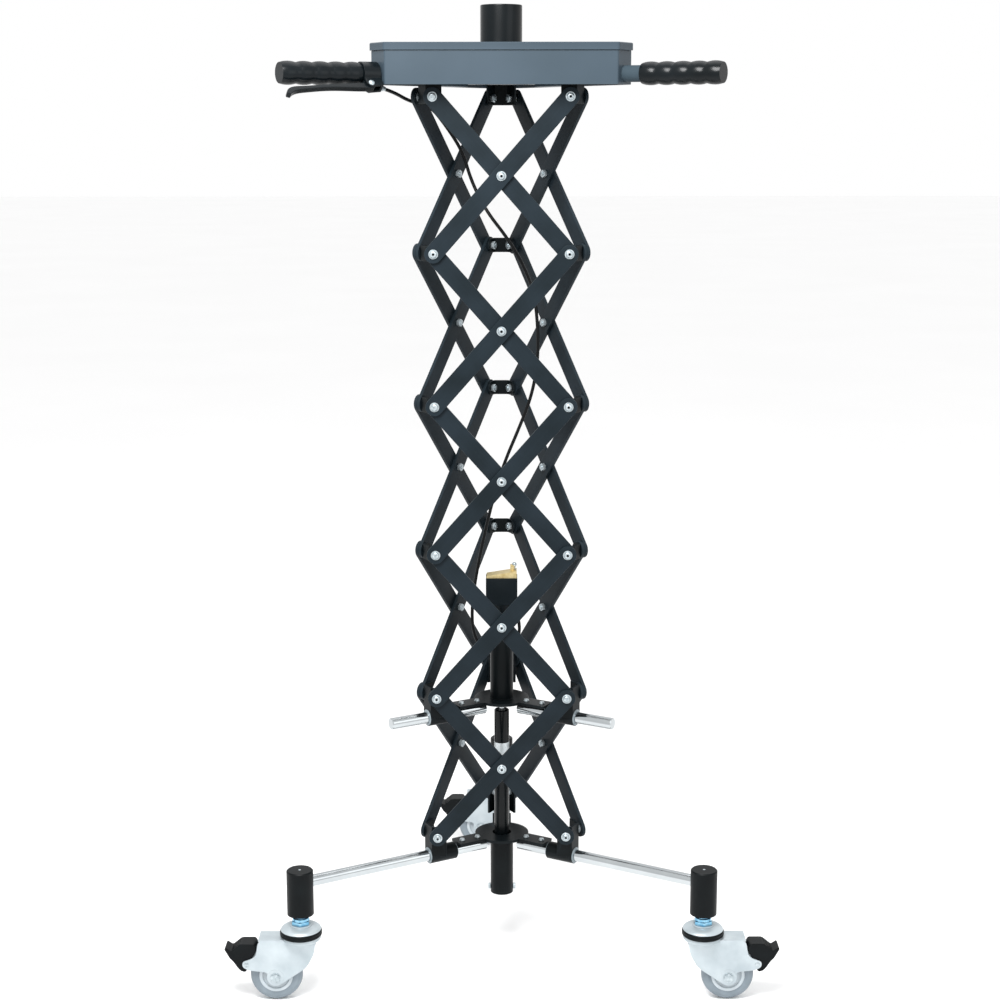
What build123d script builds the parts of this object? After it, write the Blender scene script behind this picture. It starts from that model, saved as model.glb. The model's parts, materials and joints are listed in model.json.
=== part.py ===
from math import atan2, cos, degrees, radians, sin, sqrt, tan
import os

from build123d import *

# ---- driving dimensions, millimetres and degrees ----
bar_length = 282.5  # end pin to end pin
raised_span = 187.0  # end pins of one face, stand raised
level_count = 5
bar_width = 25.0
bar_thickness = 4.8
bar_gap = 0.2  # between one bar layer and the next
corner_inset = 31.0  # bar pin to the theoretical corner of the plan triangle
corner_trim = 22.0  # width of the flat web across each corner
bracket_thickness = 3.0

bolt_diameter = 6.0
running_clearance = 0.06  # radial
washer_diameter = 13.0
head_diameter = 10.5
head_height = 3.0
nut_flats = 10.0
nut_height = 5.0

rod_diameter = 17.0  # legs and guide rods
sleeve_wall = 4.0
sleeve_length = 43.0
sleeve_drop = 34.0  # bar pin down to the rod axis
rod_start = 30.0  # inner end of every radial rod
guide_rod_end = 184.0

hub_radius = 40.0
hub_arm_width = 28.0
hub_arm_clearance = 3.7  # arm's end to the sleeves when the stand is raised
hub_thickness = 4.0
column_diameter = 34.0
column_bore = 28.0
lower_column_drop = 82.0  # leg axis down to the column's foot
upper_column_length = 143.0
release_head_size = (46.0, 30.0, 40.0)
release_cheek = 3.2

spring_cylinder_diameter = 22.0
spring_rod_diameter = 8.0
spring_rod_overlap = 50.0  # rod inside the cylinder when the stand is raised
spring_stroke = 150.0

leg_radius = 331.0  # stand axis to the stem of each front caster
rear_leg_radius = 420.0
socket_diameter = 38.0
socket_below_rod = 46.0
socket_above_rod = 20.0
stem_bore_depth = 34.0
rod_end_wall = 6.0
stem_diameter = 11.0

wheel_diameter = 75.0
wheel_width = 24.0
caster_trail = 36.0
wheel_side_gap = 2.0
wheel_top_gap = 17.0
caster_head_height = 36.0  # fork's top plate to the leg socket
fork_thickness = 2.5
swivel_diameter = 60.0
axle_diameter = 8.0
rim_radius = 24.0

box_inradius = 113.0  # stand axis to the front face
box_corner_radius = 191.0  # stand axis to the small corner faces
box_lift = 15.3  # top pins up to the box's open underside
box_height = 45.0
box_wall = 2.0
lid_height = 10.0
lid_overhang = 2.0
lid_thickness = 3.0
top_socket_diameter = 58.0
top_socket_bore = 50.0
top_socket_height = 54.0
top_socket_seat = 1.0  # depth of the round seat in the lid

handle_lift = 14.0  # box's underside up to the handles' axis
handle_diameter = 22.0
grip_diameter = 27.5
grip_swell = 1.8
grip_length = 116.0
grip_bulges = 5
clamp_width = 24.0
lever_pivot_inset = 7.0  # grip's inner end back to the lever's pivot
lever_pivot_drop = 24.0
lever_pin_radius = 2.5

# ---- derived ----
upright = (Align.CENTER, Align.CENTER, Align.MIN)
hanging = (Align.CENTER, Align.CENTER, Align.MAX)
sleeve_diameter = rod_diameter + 2 * sleeve_wall
fork_gap = wheel_width + 2 * wheel_side_gap
fork_plate_height = wheel_diameter + wheel_top_gap
socket_bottom = fork_plate_height + caster_head_height
lower_rod_height = socket_bottom + socket_below_rod
socket_top = lower_rod_height + socket_above_rod
lower_column_bottom = lower_rod_height - lower_column_drop
lower_pin_height = lower_rod_height + sleeve_drop
level_pitch = sqrt(bar_length**2 - raised_span**2)
bar_lean = degrees(atan2(level_pitch, raised_span))
plan_side = raised_span + 2 * corner_inset
flange_depth = plan_side / (2 * sqrt(3))  # stand axis to a flange's outer face
plan_corner = plan_side / sqrt(3)
web_radius = plan_corner - corner_trim * cos(radians(30))
hub_arm_end = web_radius - sleeve_length - hub_arm_clearance
plate_screw_places = (hub_radius + 2.0, hub_arm_end - 10.0)
fall_depth = flange_depth + bar_gap
rise_depth = fall_depth + bar_thickness + bar_gap
upper_rod_height = lower_rod_height + level_pitch
top_pin_height = lower_pin_height + level_count * level_pitch
box_bottom = top_pin_height + box_lift
handle_height = box_bottom + handle_lift
grip_start = box_corner_radius + clamp_width + 3.0
grip_end = grip_start + grip_length
lever_pivot_radius = grip_start - lever_pivot_inset
slider_screw_offset = raised_span / sqrt(3)
plate_lift = rod_diameter / 2
upper_plate_top = upper_rod_height + plate_lift + hub_thickness
lower_plate_top = lower_rod_height + plate_lift + hub_thickness
head_base = upper_plate_top + upper_column_length
hole_radius = bolt_diameter / 2 + running_clearance
stem_radius = stem_diameter / 2 + running_clearance

face_angles = {"front": 270.0, "left": 150.0, "right": 30.0}
corner_angles = {"rear": 90.0, "left": 210.0, "right": 330.0}
wheel_headings = {"rear": 180.0, "left": 180.0, "right": 0.0}
leg_radii = {"rear": rear_leg_radius, "left": leg_radius, "right": leg_radius}


def facing(angle, distance, height=0.0):
    """Plane square to a horizontal direction: x along the face, y up, z outwards."""
    out = Vector(cos(radians(angle)), sin(radians(angle)), 0)
    along = Vector(-sin(radians(angle)), cos(radians(angle)), 0)
    return Plane(origin=out * distance + Vector(0, 0, height), x_dir=along, z_dir=out)


def in_plan(angle, outward, across):
    """Point on the floor plan given along and across a corner's direction."""
    c, s = cos(radians(angle)), sin(radians(angle))
    return (outward * c - across * s, outward * s + across * c)


def level_height(level):
    return lower_pin_height + level * level_pitch


# ---- scissor bars and their bolts ----
def bar_shape(low_across, high_across, depth, low_height):
    middle = low_height + level_pitch / 2
    lean = bar_lean if high_across > low_across else 180 - bar_lean
    pins = [(low_across, low_height), (0, middle), (high_across, low_height + level_pitch)]
    with BuildPart() as bar:
        with BuildSketch(Plane.XY.offset(depth)):
            with Locations((0, middle)):
                SlotCenterToCenter(bar_length, bar_width, rotation=lean)
            with Locations(*pins):
                Circle(hole_radius, mode=Mode.SUBTRACT)
        extrude(amount=bar_thickness)
    return bar


def bolt_shape(across, height, inner, outer, spacer_from=None, spacer_to=None):
    """Button-head bolt with washer and nut; inner and outer are the clamped faces."""
    play = 0.05
    with BuildPart() as bolt:
        with BuildSketch(Plane.XY.offset(inner - play - nut_height)):
            with Locations((across, height)):
                RegularPolygon(nut_flats / 2, 6, major_radius=False)
        extrude(amount=nut_height)
        with BuildSketch(Plane.XY.offset(inner - play - nut_height)):
            with Locations((across, height)):
                Circle(bolt_diameter / 2)
        extrude(amount=outer - inner + 2 * play + nut_height + 1.0)
        with BuildSketch(Plane.XY.offset(outer + play)):
            with Locations((across, height)):
                Circle(washer_diameter / 2)
        extrude(amount=1.0)
        with BuildSketch(Plane.XY.offset(outer + play + 1.0)):
            with Locations((across, height)):
                Circle(head_diameter / 2)
        extrude(amount=head_height, taper=22)
        with BuildSketch(Plane.XY.offset(outer + play + 1.0 + head_height)):
            with Locations((across, height)):
                RegularPolygon(2.0, 6, major_radius=False)
        extrude(amount=-1.8, mode=Mode.SUBTRACT)
        if spacer_from is not None:
            with BuildSketch(Plane.XY.offset(spacer_from + play)):
                with Locations((across, height)):
                    Circle(washer_diameter / 2)
            extrude(amount=spacer_to - spacer_from - 2 * play)
    return bolt


def bar_node(face, kind, level):
    """One bar in place, with the bolts that turn with it as separate solids."""
    half = raised_span / 2
    low = level_height(level - 1)
    high = level_height(level)
    middle = (low + high) / 2
    rising = kind == "rise"
    depth = rise_depth if rising else fall_depth
    outer = depth + bar_thickness
    inside = flange_depth - bracket_thickness
    pieces = [bar_shape(-half if rising else half, half if rising else -half, depth, low)]
    if rising:
        low_gap = (flange_depth, rise_depth) if level == 1 else (None, None)
        high_gap = (flange_depth, rise_depth) if level == level_count else (None, None)
        pieces.append(bolt_shape(-half, low, inside, outer, *low_gap))
        pieces.append(bolt_shape(0, middle, fall_depth, outer))
        pieces.append(bolt_shape(half, high, inside, outer, *high_gap))
    elif level == 1:
        pieces.append(bolt_shape(half, low, inside, outer))
    elif level == level_count:
        pieces.append(bolt_shape(-half, high, inside, outer))
    with BuildPart() as node:
        with Locations(facing(face_angles[face], 0).location):
            for piece in pieces:
                add(piece.part)
    return node


# ---- corner sliders and brackets ----
def bent_plate(angle, bottom, top, pin_height):
    """Strip folded round one corner, with a pin hole in each flange."""
    reach = corner_inset + bar_width / 2
    t = bracket_thickness
    inner_across = (flange_depth - t - 0.5 * (web_radius - t)) / cos(radians(30))
    tip = (plan_corner - reach * cos(radians(30)), reach / 2)
    inner_tip = (tip[0] - t * 0.5, tip[1] - t * cos(radians(30)))
    outline = [tip, (web_radius, corner_trim / 2), (web_radius, -corner_trim / 2), (tip[0], -tip[1])]
    outline += [(inner_tip[0], -inner_tip[1]), (web_radius - t, -inner_across)]
    outline += [(web_radius - t, inner_across), inner_tip]
    with BuildPart() as plate:
        with BuildSketch(Plane.XY.offset(bottom)):
            with BuildLine():
                Polyline(*[in_plan(angle, *point) for point in outline], close=True)
            make_face()
        extrude(amount=top - bottom)
        for turn, across in ((60, -raised_span / 2), (-60, raised_span / 2)):
            with BuildSketch(facing(angle + turn, flange_depth - 2 * t)):
                with Locations((across, pin_height)):
                    Circle(hole_radius)
            extrude(amount=3 * t, mode=Mode.SUBTRACT)
    return plate


def slider(angle, pin_height):
    rod_height = pin_height - sleeve_drop
    inner_end = web_radius - sleeve_length
    bore = rod_diameter / 2 + running_clearance
    with BuildPart() as body:
        add(bent_plate(angle, rod_height + 2.0, pin_height + 13.0, pin_height).part)
        with BuildSketch(facing(angle, inner_end, rod_height)):
            Circle(sleeve_diameter / 2)
        extrude(amount=sleeve_length)
        with BuildSketch(facing(angle, inner_end - 1, rod_height)):
            Circle(bore)
        extrude(amount=sleeve_length + 2, mode=Mode.SUBTRACT)
        if angle == 90.0:
            with BuildSketch(Plane.XY.offset(rod_height)):
                with Locations((0, slider_screw_offset)):
                    Circle(2.5 + running_clearance)
            extrude(amount=sleeve_diameter, mode=Mode.SUBTRACT)
    return body


def slider_screw(rod_height):
    """Upright guide screw through the top of a rear slider's sleeve."""
    base = rod_height + rod_diameter / 2 + 0.3
    with BuildPart() as screw:
        with BuildSketch(Plane.XY.offset(base)):
            with Locations((0, slider_screw_offset)):
                Circle(2.5)
        extrude(amount=sleeve_diameter / 2 - rod_diameter / 2 + 0.8)
        with BuildSketch(Plane.XY.offset(rod_height + sleeve_diameter / 2 + 0.5)):
            with Locations((0, slider_screw_offset)):
                Circle(4.0)
        extrude(amount=3.0)
        with BuildSketch(Plane.XY.offset(rod_height + sleeve_diameter / 2 + 3.5)):
            with Locations((0, slider_screw_offset)):
                RegularPolygon(1.6, 6, major_radius=False)
        extrude(amount=-1.8, mode=Mode.SUBTRACT)
    return screw


# ---- hubs ----
def hub_plate(plate_top, hole):
    with BuildPart() as plate:
        with BuildSketch(Plane.XY.offset(plate_top - hub_thickness)):
            Circle(hub_radius)
            for angle in corner_angles.values():
                with Locations(Location(in_plan(angle, hub_arm_end / 2, 0) + (0,), (0, 0, angle))):
                    Rectangle(hub_arm_end, hub_arm_width)
            Circle(hole, mode=Mode.SUBTRACT)
            for angle in corner_angles.values():
                with Locations(*[in_plan(angle, distance, 0) for distance in plate_screw_places]):
                    Circle(2.6, mode=Mode.SUBTRACT)
        extrude(amount=hub_thickness)
    return plate


def plate_screw(angle, distance, plate_top):
    with BuildPart() as screw:
        with BuildSketch(Plane.XY.offset(plate_top - hub_thickness + 0.1)):
            with Locations(in_plan(angle, distance, 0)):
                Circle(2.5)
        extrude(amount=hub_thickness + 1)
        with BuildSketch(Plane.XY.offset(plate_top + 0.05)):
            with Locations(in_plan(angle, distance, 0)):
                Circle(4.2)
        extrude(amount=2.4, taper=20)
    return screw


def column(bottom, top):
    with BuildPart() as tube:
        with BuildSketch(Plane.XY.offset(bottom)):
            Circle(column_diameter / 2)
            Circle(column_bore / 2, mode=Mode.SUBTRACT)
        extrude(amount=top - bottom)
    return tube


def radial_rod(angle, start, end, height):
    with BuildPart() as rod:
        with BuildSketch(facing(angle, start, height)):
            Circle(rod_diameter / 2)
        extrude(amount=end - start)
        chamfer(rod.faces().sort_by(Axis((0, 0, 0), facing(angle, 1).z_dir))[-1].edges(), 1.0)
    return rod


with BuildPart() as lower_hub:
    add(hub_plate(lower_plate_top, column_bore / 2).part)
    add(column(lower_column_bottom, lower_plate_top - hub_thickness).part)
    with BuildSketch(Plane.YZ.offset(-column_diameter)):
        with Locations((0, lower_column_bottom + 8)):
            Circle(2.6)
    extrude(amount=2 * column_diameter, mode=Mode.SUBTRACT)
    with BuildSketch(Plane.YZ.offset(-column_diameter / 2 - 3)):
        with Locations((0, lower_column_bottom + 8)):
            Circle(2.5)
    extrude(amount=column_diameter + 6)
    for side in (-1, 1):
        with BuildSketch(Plane.YZ.offset(side * (column_diameter / 2 + 0.1))):
            with Locations((0, lower_column_bottom + 8)):
                RegularPolygon(4.0, 6, major_radius=False)
        extrude(amount=side * 3.4)
    for angle in corner_angles.values():
        for distance in plate_screw_places:
            add(plate_screw(angle, distance, lower_plate_top).part)

def leg_socket(angle, distance):
    """Upright end socket of one leg, bored for the caster's stem and for the leg's rod."""
    place = Location(in_plan(angle, distance, 0) + (socket_bottom,))
    with BuildPart() as socket:
        with Locations(place):
            Cylinder(socket_diameter / 2, socket_top - socket_bottom, align=upright)
        chamfer(socket.faces().sort_by(Axis.Z)[-1].edges(), 1.5)
        with Locations(place):
            Cylinder(stem_radius, stem_bore_depth, align=upright, mode=Mode.SUBTRACT)
        with BuildSketch(facing(angle, distance - socket_diameter, lower_rod_height)):
            Circle(rod_diameter / 2 + 0.05)
        extrude(amount=socket_diameter - rod_end_wall, mode=Mode.SUBTRACT)
    return socket


with BuildPart() as legs:
    for corner, angle in corner_angles.items():
        distance = leg_radii[corner]
        add(leg_socket(angle, distance).part)
        add(radial_rod(angle, rod_start, distance - rod_end_wall - 0.1, lower_rod_height).part)

with BuildPart() as release_head:
    width, depth, height = release_head_size
    with BuildSketch(Plane.XZ.offset(-depth / 2)):
        with BuildLine():
            half = width / 2
            low = column_diameter / 2 + 2
            corners = [(-low, head_base), (low, head_base), (half, head_base + 12)]
            corners += [(half, head_base + height), (-half, head_base + height), (-half, head_base + 12)]
            Polyline(*corners, close=True)
        make_face()
    extrude(amount=depth)
    with Locations((0, 0, head_base + height)):
        Box(width + 2, depth - 2 * release_cheek, 26, align=hanging, mode=Mode.SUBTRACT)
    with Locations((0, 0, head_base)):
        Cylinder(spring_rod_diameter / 2 + 0.1, 60, mode=Mode.SUBTRACT)
    with BuildSketch(Plane.XZ.offset(-depth / 2)):
        with Locations((-width / 2 + 6, head_base + height - 6)):
            Circle(2.0)
    extrude(amount=depth)

with BuildPart() as upper_hub:
    add(hub_plate(upper_plate_top, column_bore / 2).part)
    add(column(upper_plate_top, head_base - 0.1).part)
    add(release_head.part)
    for angle in corner_angles.values():
        add(radial_rod(angle, rod_start, guide_rod_end, upper_rod_height - 0.05).part)
        for distance in plate_screw_places:
            add(plate_screw(angle, distance, upper_plate_top).part)

# ---- lockable gas spring ----
cylinder_top = upper_plate_top - hub_thickness - 15.0
cylinder_bottom = lower_column_bottom + 16.0

with BuildPart() as gas_spring_cylinder:
    with Locations((0, 0, cylinder_bottom)):
        Cylinder(spring_cylinder_diameter / 2, cylinder_top - cylinder_bottom, align=upright)
    chamfer(gas_spring_cylinder.edges().filter_by(GeomType.CIRCLE), 1.5)
    with Locations((0, 0, cylinder_bottom - 4.5)):
        Cylinder(5, 5.5, align=upright)
    with Locations((0, 0, cylinder_top)):
        bore = spring_rod_diameter / 2 + running_clearance
        depth = spring_rod_overlap + spring_stroke
        Cylinder(bore, depth, align=hanging, mode=Mode.SUBTRACT)

with BuildPart() as gas_spring_rod:
    rod_end = cylinder_top - spring_rod_overlap
    with Locations((0, 0, rod_end)):
        Cylinder(spring_rod_diameter / 2, head_base + 24 - rod_end, align=upright)

with BuildPart() as release_lever:
    width, depth, height = release_head_size
    span = depth - 2 * release_cheek - 0.6
    pivot = (-width / 2 + 6, head_base + height - 6)
    with BuildSketch(Plane.XZ.offset(-span / 2)):
        with BuildLine():
            outline = [(-width / 2 + 1, pivot[1] - 4), (width / 2 - 1, pivot[1] + 1)]
            outline += [(width / 2 - 1, pivot[1] + 16), (-width / 2 + 1, pivot[1] + 9)]
            Polyline(*outline, close=True)
        make_face()
        with Locations(pivot):
            Circle(2.0 + running_clearance, mode=Mode.SUBTRACT)
    extrude(amount=span)
    with Locations((width / 2 - 7, 0, pivot[1] + 12)):
        Cylinder(3.5, 12, align=upright)

# ---- top box ----


def box_outline(inradius, corner_radius):
    """Triangle with its corners cut off, the cuts facing the stand's three corners."""
    corner = 2 * inradius
    half_cut = (corner - corner_radius) / sqrt(3)
    points = []
    for angle in sorted(corner_angles.values()):
        points.append(in_plan(angle, corner_radius, -half_cut))
        points.append(in_plan(angle, corner_radius, half_cut))
    return points


def box_layer(inradius, corner_radius, bottom, height, round_by):
    with BuildPart() as layer:
        with BuildSketch(Plane.XY.offset(bottom)):
            with BuildLine():
                Polyline(*box_outline(inradius, corner_radius), close=True)
            make_face()
            fillet(vertices(), round_by)
        extrude(amount=height)
    return layer


lid_bottom = box_bottom + box_height + 0.1

with BuildPart() as lid:
    outer = (box_inradius + lid_overhang, box_corner_radius + lid_overhang)
    inner = (box_inradius - box_wall, box_corner_radius - box_wall)
    add(box_layer(*outer, lid_bottom, lid_height, 5).part)
    chamfer(lid.faces().sort_by(Axis.Z)[-1].edges(), 1.2)
    hollow = box_layer(*inner, lid_bottom - 1, lid_height + 1 - lid_thickness, 2)
    add(hollow.part, mode=Mode.SUBTRACT)
    with Locations((0, 0, lid_bottom + lid_height)):
        Cylinder(top_socket_diameter / 2 + 0.1, top_socket_seat, align=hanging, mode=Mode.SUBTRACT)

with BuildPart() as socket_tube:
    tube_height = top_socket_height + top_socket_seat - 0.1
    with Locations((0, 0, lid_bottom + lid_height - top_socket_seat + 0.1)):
        Cylinder(top_socket_diameter / 2, tube_height, align=upright)
        Cylinder(top_socket_bore / 2, tube_height, align=upright, mode=Mode.SUBTRACT)
    chamfer(socket_tube.faces().sort_by(Axis.Z)[-1].edges(), 0.8)

with BuildPart() as top_box:
    add(box_layer(box_inradius, box_corner_radius, box_bottom, box_height, 4).part)
    cavity = box_layer(*inner, box_bottom - 1, box_height + 1.05, 2)
    add(cavity.part, mode=Mode.SUBTRACT)
    for angle in face_angles.values():
        with BuildSketch(facing(angle, box_inradius - box_wall - 30, box_bottom)):
            with Locations((0, 1.5)):
                Rectangle(90, 3)
        extrude(amount=30.5)
    add(lid.part)
    add(socket_tube.part)

# ---- handles, brake lever ----


def grip_shape():
    """Hand grip with rounded swells, along local z from the inner end."""
    length = grip_end - grip_start
    bulge = length / grip_bulges
    r = grip_diameter / 2
    bore = handle_diameter / 2 + 0.05
    with BuildPart() as grip:
        with BuildSketch(Plane.XZ):
            with BuildLine():
                for i in range(grip_bulges):
                    low = (r, i * bulge)
                    mid = (r + grip_swell, (i + 0.5) * bulge)
                    high = (r, (i + 1) * bulge)
                    ThreePointArc(low, mid, high)
                Polyline((r, length), (0, length), (0, length - 4), (bore, length - 4), (bore, 0), (r, 0))
            make_face()
        revolve(axis=Axis.Z)
    return grip


grip = grip_shape()
lever_plane = Plane(
    origin=Vector(*in_plan(210, 0, 0), handle_height),
    x_dir=Vector(*in_plan(210, 1, 0), 0),
    z_dir=Vector(*in_plan(210, 1, 0), 0).cross(Vector(*in_plan(210, 0, sqrt(0.5)), -sqrt(0.5))),
)

def handle_tube(angle):
    start = box_corner_radius + 0.1
    with BuildPart() as tube:
        with BuildSketch(facing(angle, start, handle_height)):
            Circle(handle_diameter / 2)
        extrude(amount=grip_end - 4.1 - start)
    return tube


with BuildPart() as clamp:
    start, end = grip_start - clamp_width - 0.2, grip_start - 0.2
    with BuildSketch(facing(210, start, handle_height)):
        Circle(handle_diameter / 2 + 5)
    extrude(amount=clamp_width)
    with BuildSketch(lever_plane.offset(-7)):
        with BuildLine():
            ear = [(start, 10), (start, lever_pivot_drop + 3)]
            ear += [(lever_pivot_radius + 2, lever_pivot_drop + 5), (end, lever_pivot_drop), (end, 10)]
            Polyline(*ear, close=True)
        make_face()
    extrude(amount=14)
    with BuildSketch(lever_plane.offset(-4)):
        with Locations((grip_start, lever_pivot_drop + 10)):
            Rectangle(42, 30)
    extrude(amount=8, mode=Mode.SUBTRACT)
    with BuildSketch(lever_plane.offset(-7)):
        with Locations((lever_pivot_radius, lever_pivot_drop)):
            Circle(lever_pin_radius)
    extrude(amount=14)
    with BuildSketch(facing(210, start - 2, handle_height)):
        Circle(handle_diameter / 2 + 0.05)
    extrude(amount=clamp_width + 4, mode=Mode.SUBTRACT)

with BuildPart() as handles:
    for angle in (210.0, 330.0):
        add(handle_tube(angle).part)
        with Locations(facing(angle, grip_start, handle_height).location):
            add(grip.part)
    add(clamp.part)

with BuildPart() as brake_lever:
    with BuildSketch(lever_plane.offset(-3.8)):
        with BuildLine():
            px, py = lever_pivot_radius, lever_pivot_drop
            near = [(px - 6, py - 3.5), (px + 8, py - 4), (px + 26, py - 3)]
            tip = (grip_end + 3, py + 17)
            far = [(px + 20, py + 6), (px - 2, py + 6), (px - 6, py + 3)]
            Polyline(*near)
            Spline(near[-1], (px + 62, py - 0.5), (px + 98, py + 3), (tip[0] - 4, py + 9), tip)
            Line(tip, (tip[0] - 5, py + 19))
            lip = (tip[0] - 5, py + 19)
            Spline(lip, (tip[0] - 10, py + 14.5), (px + 96, py + 9), (px + 60, py + 5.5), far[0])
            Polyline(*far)
            Line(far[-1], near[0])
        make_face()
        with Locations((px, py)):
            Circle(lever_pin_radius + running_clearance, mode=Mode.SUBTRACT)
    extrude(amount=7.6)

# ---- brake cable ----
cable_diameter = 4.8
cable_drop = 709.0  # head of the column up to the top pins, for the points below
cable_span = 187.0  # span of the bars, for the points below
cable_end = (21.0, 0.0, 540.0)
cable_outside = [
    (-166.0, -96.0, -17.0),
    (-148.0, -70.0, -22.0),
    (-125.0, -32.0, -36.0),
]
cable_inside = [
    (-100.0, -3.0, 1240.0),
    (-76.0, 16.0, 1210.0),
    (-54.0, 24.0, 1176.0),
    (-43.0, 24.0, 1138.0),
    (-22.0, 13.0, 1097.0),
    (10.0, 4.0, 1058.0),
    (33.0, 9.0, 1019.0),
    (47.0, 20.0, 982.0),
    (52.0, 23.0, 940.0),
    (53.0, 18.0, 890.0),
    (44.0, 10.0, 840.0),
    (25.0, 5.0, 793.0),
    (4.0, 3.0, 745.0),
    (-12.0, 4.0, 694.0),
    (-25.0, 8.0, 640.0),
    (-35.0, 12.0, 592.0),
    (-41.0, 16.0, 555.0),
    (-44.0, 21.0, 523.0),
    (-43.0, 27.0, 495.0),
    (-36.0, 31.0, 473.0),
    (-19.0, 34.0, 459.0),
    (3.0, 33.0, 459.0),
    (20.0, 26.0, 472.0),
    (27.0, 15.0, 493.0),
    (25.0, 5.0, 516.0),
]


def cable_route():
    """Route points, with their heights tied to the top pins and to the release head."""
    stretch = (top_pin_height - head_base) / cable_drop
    spread = raised_span / cable_span
    low = head_base - 1.0
    outside = [Vector(x, y, handle_height + z) for x, y, z in cable_outside]
    inside = [Vector(x * spread, y * spread, low + (z - cable_end[2]) * stretch) for x, y, z in cable_inside]
    return outside + inside + [Vector(cable_end[0], cable_end[1], low)]


with BuildPart() as brake_cable:
    route = cable_route()
    radii = []
    with BuildLine() as run:
        last = route[0]
        for before, point, after in zip(route, route[1:], route[2:]):
            arrive, leave = (point - before), (after - point)
            cut = 0.45 * min(arrive.length, leave.length)
            arrive, leave = arrive.normalized(), leave.normalized()
            first, end = point - arrive * cut, point + leave * cut
            turn = radians(arrive.get_angle(leave))
            radius = cut / tan(turn / 2)
            radii.append(radius)
            inward = (leave - arrive).normalized()
            crown = point + inward * (radius / cos(turn / 2) - radius)
            Line(last, first)
            ThreePointArc(first, crown, end)
            last = end
        Line(last, route[-1])
    with BuildSketch(Plane(origin=run.line @ 0, z_dir=run.line % 0)):
        Circle(cable_diameter / 2)
    sweep()
print("cable length", round(sum(edge.length for edge in run.edges()), 1), "bend radii", [round(r) for r in radii])

# ---- casters ----
axle = (caster_trail, wheel_diameter / 2)
pedal_pivot = (caster_trail + wheel_diameter / 2 + 3.5, wheel_diameter / 2 + 19.5)
pedal_pin_radius = 2.0
bearing_height = 9.0
dome_height = 6.0
axle_nut_flats = 6.5
axle_nut_height = 3.0


def about(centre, offsets):
    return [(centre[0] + x, centre[1] + z) for x, z in offsets]


with BuildPart() as fork_local:
    plate_top = fork_plate_height + 4
    dome_base = plate_top + bearing_height
    collar_base = dome_base + dome_height
    with Locations((0, 0, fork_plate_height)):
        Cylinder(swivel_diameter / 2 - 3, 4, align=upright)
        reach = caster_trail + 28
        Box(reach, fork_gap + 2 * fork_thickness, 2.5, align=(Align.MIN, Align.CENTER, Align.MIN))
    with Locations((0, 0, plate_top)):
        Cylinder(swivel_diameter / 2, bearing_height, align=upright)
    with Locations((0, 0, dome_base)):
        Cone(swivel_diameter / 2 - 6, 14, dome_height, align=upright)
    with Locations((0, 0, collar_base)):
        Cylinder(10.5, socket_bottom - collar_base - 0.3, align=upright)
    with Locations((0, 0, socket_bottom - 6)):
        Cylinder(stem_diameter / 2, stem_bore_depth + 4, align=upright)
    for side in (-1, 1):
        with BuildSketch(Plane.XZ.offset(side * fork_gap / 2)):
            with BuildLine():
                cheek = [(-22, fork_plate_height + 3), (-20, fork_plate_height - 18), (-8, axle[1] + 14.5)]
                cheek += about(axle, [(-8, -10.5), (2, -12.5), (11, -3.5), (12, 7.5)])
                cheek += about(pedal_pivot, [(-3, -9), (6, -4), (6, 4), (-13, 11)])
                cheek += [(axle[0] + 24, fork_plate_height + 2)]
                Polyline(*cheek, close=True)
            make_face()
        extrude(amount=side * fork_thickness)
    with BuildSketch(Plane.XZ.offset(-fork_gap / 2 - fork_thickness)):
        with Locations(axle):
            Circle(axle_diameter / 2)
    extrude(amount=fork_gap + 2 * fork_thickness)
    with BuildSketch(Plane.XZ.offset(-fork_gap / 2 - fork_thickness - axle_nut_height)):
        with Locations(axle):
            RegularPolygon(axle_nut_flats, 6, major_radius=False)
    extrude(amount=axle_nut_height)
    with BuildSketch(Plane.XZ.offset(fork_gap / 2 + fork_thickness)):
        with Locations(axle):
            RegularPolygon(axle_nut_flats, 6, major_radius=False)
    extrude(amount=axle_nut_height)
    with BuildSketch(Plane.XZ.offset(-fork_gap / 2)):
        with Locations(pedal_pivot):
            Circle(pedal_pin_radius)
    extrude(amount=fork_gap)

with BuildPart() as tyre:
    r = wheel_diameter / 2
    half = wheel_width / 2
    with BuildSketch(Plane.XZ):
        with BuildLine():
            Polyline((rim_radius, -half + 2), (r - 8, -half + 1), (r - 3, -half + 4))
            ThreePointArc((r - 3, -half + 4), (r, 0), (r - 3, half - 4))
            Polyline((r - 3, half - 4), (r - 8, half - 1), (rim_radius, half - 2), (rim_radius, -half + 2))
        make_face()
    revolve(axis=Axis.Z)

with BuildPart() as wheel_hub:
    bore = axle_diameter / 2 + running_clearance
    edge = rim_radius - 0.05
    with BuildSketch(Plane.XZ):
        with BuildLine():
            rim = [(bore, -half - 0.5), (11, -half - 0.5), (12, -half + 4), (19, -half + 3)]
            rim += [(20, -half + 0.5), (edge, -half + 0.5), (edge, half - 0.5), (20, half - 0.5)]
            rim += [(19, half - 3), (12, half - 4), (11, half + 0.5), (bore, half + 0.5)]
            Polyline(*rim, close=True)
        make_face()
    revolve(axis=Axis.Z)

with BuildPart() as wheel_local:
    with Locations(Location((caster_trail, 0, wheel_diameter / 2), (90, 0, 0))):
        add(tyre.part)
        add(wheel_hub.part)

with BuildPart() as pedal_local:
    with BuildSketch(Plane.XZ.offset(-fork_gap / 2 + 0.4)):
        with BuildLine():
            outline = [(-17, 23), (-11, 31), (7, 30), (24, 16), (30, 21), (32, 18), (22, 7)]
            outline += [(20, -8), (7, -20), (2, -13), (-3, -4), (-5, 3)]
            Polyline(*about(pedal_pivot, outline), close=True)
        make_face()
        with Locations(pedal_pivot):
            Circle(pedal_pin_radius + running_clearance, mode=Mode.SUBTRACT)
    extrude(amount=fork_gap - 0.8)


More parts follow.
